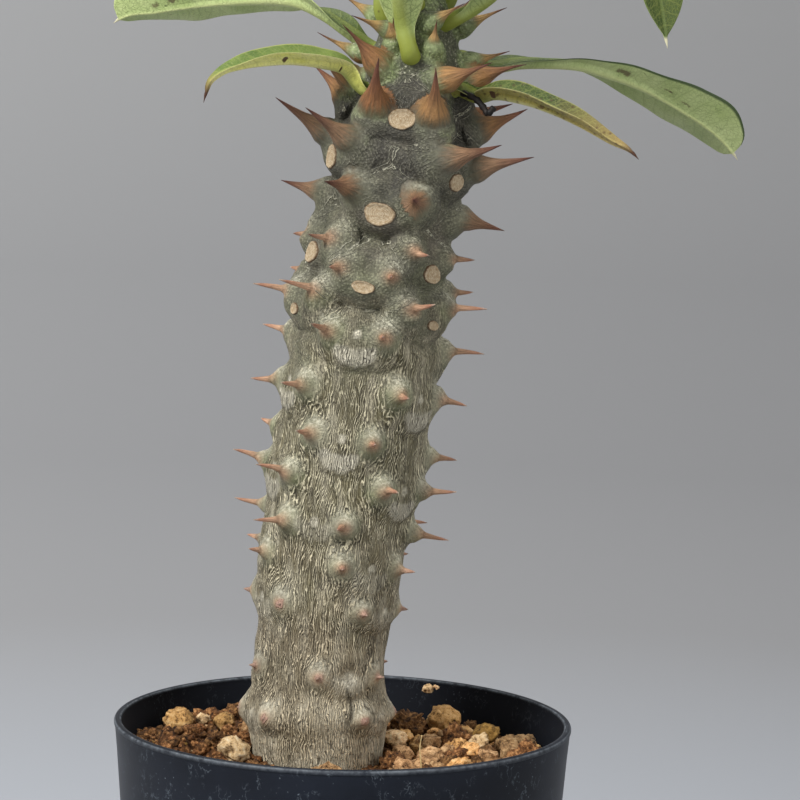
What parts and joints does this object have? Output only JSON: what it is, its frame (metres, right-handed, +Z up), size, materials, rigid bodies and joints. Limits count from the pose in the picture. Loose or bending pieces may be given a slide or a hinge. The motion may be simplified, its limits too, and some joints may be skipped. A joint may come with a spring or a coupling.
{
  "type": "potted pachypodium",
  "caption": "Thorny caudex trunk with a rosette of narrow leaves, standing in gritty soil in a round tapered plant pot.",
  "frame": {"origin": "middle of the pot's flat underside, where it rests", "axes": "+Z up along the plant; the side in the picture faces -Y, and +X is to the viewer's right"},
  "size_m": [0.1486, 0.1162, 0.3123],
  "materials": {
    "pot": "satin",
    "soil": "matte",
    "bark": "matte",
    "leaf": "satin",
    "old_leaf": "satin"
  },
  "bodies": {
    "root": {"pot": "pot", "soil": "soil", "trunk": "bark", "leaf_left_low": "old_leaf", "leaf_right_low": "old_leaf", "leaf_front": "leaf", "leaf_right": "leaf", "leaf_left": "leaf", "leaf_arching": "leaf", "leaf_inner_left": "leaf", "leaf_inner_back": "leaf", "leaf_young_front": "leaf", "leaf_young_right": "leaf", "leaf_young_left": "leaf"}
  },
  "joints": []
}
